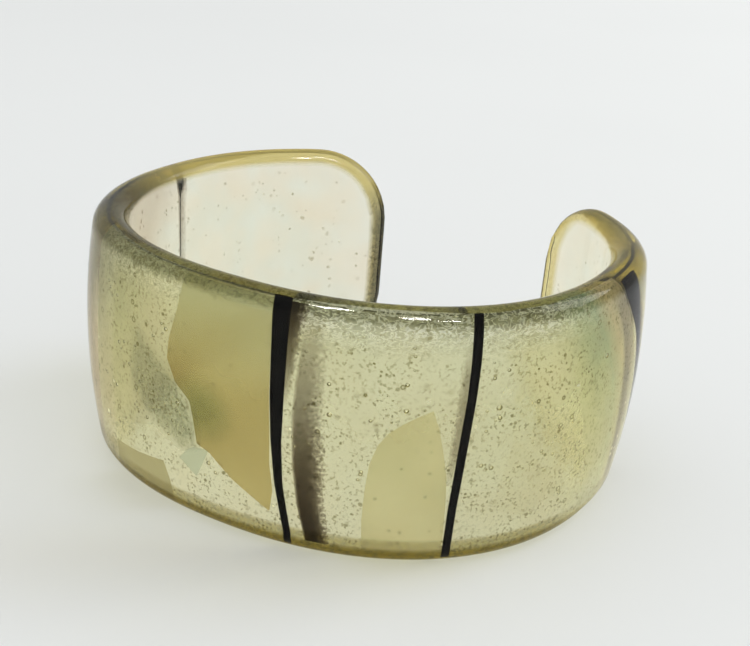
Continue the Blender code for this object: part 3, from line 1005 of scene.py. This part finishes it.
def floor_material():
    """A matt pale tabletop."""
    material, tree, output = new_material("tabletop")
    place = add(tree, "TexCoord").outputs["Object"]
    drift = clouds_of(tree, place, 6.0, 2.0)
    tone = ramp(tree, drift, (0.3, (0.77, 0.785, 0.78)), (0.7, (0.79, 0.805, 0.80)))
    top = add(tree, "BsdfPrincipled", {"Base Color": tone, "Roughness": 0.6})
    tree.links.new(top.outputs[0], output.inputs["Surface"])
    return material


# ---- build ----

def finish_piece(piece, slot, *nodes):
    """Registers a finished piece with the frame."""
    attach(piece, "root")
    if nodes:
        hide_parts(*nodes)


def ripple_share(x):
    """How strongly the sheet's top is rippled: most between the front stringers and on to the right."""
    front = fade(x, 7.5, 9.0) * fade(x, 48, 34)
    left = 0.3 * fade(x, -21, -17) * fade(x, -4, -6)
    return max(front, left)


def build_glass(path):
    """The base, the sheet and the cap."""
    frosted = body_material("base_glass", 0.06, 400.0, 0.03)
    base = make_strip(
        "base_glass_body", frosted, 0, RIM_STOPS, (1.0 * MM, 3.0 * MM), base_inside, base_outside,
    )
    mark_fused(base, [-JOINT])
    finish_piece(bend(base, path), "base glass", "base_glass")

    polished = body_material("cap_glass", 0.01, 130.0, 0.06)
    cap = make_strip(
        "cap_glass_body", polished, 0, CAP_STOPS, (1.0 * MM, 1.6 * MM), cap_underside, cap_outside,
    )
    mark_fused(cap, [JOINT, POCKET_FLOOR])
    finish_piece(bend(cap, path), "cap glass", "cap_glass")

    sheet = make_strip(
        "iridised_sheet_body", sheet_outside_material(), SHEET_INSET, [0, 0.5 * MM], (0.5 * MM, 0.5 * MM),
        lambda x, z, margin: SHEET_BOTTOM, lambda x, z, margin: SHEET_TOP,
    )
    sheet.data.materials.append(sheet_inside_material())
    for face in sheet.data.polygons:
        if all(abs(sheet.data.vertices[i].co.y - SHEET_BOTTOM) < 0.01 * MM for i in face.vertices):
            face.material_index = 1
    traits = {"under_shard": [], "panel": [], "ripple": [], "film": [], "frit": []}
    for vertex in sheet.data.vertices:
        x = (vertex.co.x - along(0)) / MM
        z = vertex.co.z / MM
        edge = PANEL_RIGHT - PANEL_BOW * (z - PANEL_WIDEST) ** 2
        under = max(reach_inside(SHARDS[name], x, z) for name in COVERING)
        traits["under_shard"].append(under)
        traits["panel"].append(min(x - PANEL_LEFT, edge - x))
        traits["ripple"].append(ripple_share(x))
        traits["film"].append(edge - x)
        traits["frit"].append(reach_inside(SHARDS["frit_patch"], x, z))
        relief = noise.noise(vertex.co * 900) + noise.noise(vertex.co * 300)
        vertex.co.y += relief * SHEET_RELIEF * fade(under, 0, -1)
    keep_traits(sheet, traits)
    finish_piece(bend(sheet, path), "iridised glass", "iridised_sheet")


def build_marks(path):
    """Stringers, the dark band and the painted shade beside the stringers, shards, frit and bubbles."""
    black = black_material()
    for name, places in STRINGERS.items():
        finish_piece(bend(make_rod(name + "_rod", places, black), path), "black glass", name)
    smoke = dark_film_material()
    strip = make_film("dark_band_film", DARK_BAND, smoke)
    finish_piece(bend(strip, path), "smoke glass", "smoke_strip")
    # Painted shade beside the stringers, laid on as dark film.
    for beside, places in STRINGER_PAINTED_SHADE.items():
        finish_piece(bend(make_film("painted_stringer_shade_" + beside, places, smoke), path), "smoke glass")

    # The kind of glass, the material's name, its two tones, how cloudy it is, and whether its top is paler
    # and it bears the frit patch's painted shadow.
    looks = {
        "olive_shard": ("olive glass", "olive_glass", (0.77, 0.70, 0.49), (0.84, 0.78, 0.57), 0.12, True),
        "leaf_shard": ("olive glass", "leaf_glass", (0.86, 0.83, 0.68), (0.95, 0.93, 0.81), 0.12, False),
        "beige_shard": ("beige glass", "beige_glass", (0.80, 0.77, 0.64), (0.85, 0.83, 0.70), 0.12, False),
        "blue_grey_shard": (
            "blue-grey glass", "blue_grey_glass", (0.86, 0.89, 0.85), (0.90, 0.93, 0.90), 0.15, False,
        ),
        "clear_shard": (
            "clear glass", "clear_glass", (0.98, 0.975, 0.955), (0.99, 0.985, 0.97), 0.01, False,
        ),
    }
    for name, (slot, *look) in looks.items():
        material = shard_material(*look)
        finish_piece(bend(make_flake(name + "_flake", SHARDS[name], material), path), slot, name)

    grains = scatter("frit_grains", frit_material(), frit_places(), 1)
    finish_piece(bend(grains, path), "frit", "frit_patch")
    bubbles = scatter("trapped_bubbles", bubble_material(), bubble_places(), 2)
    finish_piece(bend(bubbles, path), "cap glass")


def add_lamp(name, place, size, power, gleam=False):
    """A soft lamp aimed at the cuff; a gleam only shows as a highlight on polished glass."""
    light = bpy.data.lights.new(name, "AREA")
    light.shape = "RECTANGLE"
    light.size = size[0]
    light.size_y = size[1]
    light.energy = power
    holder = bpy.data.objects.new(name, light)
    holder.location = place
    holder.rotation_euler = (Vector((0, 0, 0.02)) - Vector(place)).to_track_quat("-Z", "Y").to_euler()
    holder.visible_diffuse = not gleam
    bpy.context.scene.collection.objects.link(holder)


def build_stage():
    """Tabletop, lamps and sky."""
    clear_selection()
    bpy.ops.mesh.primitive_plane_add(size=4, location=(0, 0, 0))
    floor = name_piece("tabletop", floor_material())

    world = bpy.data.worlds.new("studio")
    world.use_nodes = True
    sky = world.node_tree.nodes["Background"]
    sky.inputs["Color"].default_value = (0.985, 0.99, 0.985, 1)
    sky.inputs["Strength"].default_value = 0.80
    bpy.context.scene.world = world

    add_lamp("window", (0.5, 0.7, 0.7), (0.5, 0.5), 4.6)
    add_lamp("left_tube", (-0.13, -0.17, 0.8), (0.09, 0.14), 4.5, gleam=True)
    add_lamp("middle_tube", (0.21, -0.17, 0.8), (0.13, 0.14), 6.5, gleam=True)
    add_lamp("right_tube", (0.44, -0.17, 0.8), (0.12, 0.14), 6.0, gleam=True)


def place_camera():
    """The viewing angle: a little above the cuff, from the right of its front crown."""
    azimuth = math.radians(30.12)
    elevation = math.radians(21.59)
    roll = math.radians(4.25)
    distance = 174.76 * MM
    level = math.cos(elevation)
    back = Vector((math.sin(azimuth) * level, -math.cos(azimuth) * level, math.sin(elevation)))
    right = (-back).cross(Vector((0, 0, 1))).normalized()
    up = right.cross(-back)
    target = Vector((0, CENTRE_SHIFT, 15.71 * MM)) + right * 1.4 * MM
    tilted_right = right * math.cos(roll) + up * math.sin(roll)
    tilted_up = up * math.cos(roll) - right * math.sin(roll)
    eye = target + back * distance
    camera = bpy.data.cameras.new("camera")
    camera.lens = 67.86
    camera.sensor_width = 36
    camera.clip_start = 0.01
    holder = bpy.data.objects.new("camera", camera)
    turn = Matrix((tilted_right, tilted_up, back)).transposed().to_4x4()
    holder.matrix_world = Matrix.Translation(eye) @ turn
    bpy.context.scene.collection.objects.link(holder)
    bpy.context.scene.camera = holder


def main():
    """Builds the cuff and its stage."""
    bpy.context.scene.view_settings.view_transform = "Standard"
    bpy.context.scene.cycles.max_bounces = GLASS_BOUNCES
    bpy.context.scene.cycles.transmission_bounces = GLASS_BOUNCES
    bpy.context.scene.cycles.transparent_max_bounces = CLEAR_FACES
    path = make_mould_path()
    build_glass(path)
    build_marks(path)
    bpy.data.objects.remove(path)
    build_stage()
    place_camera()


main()
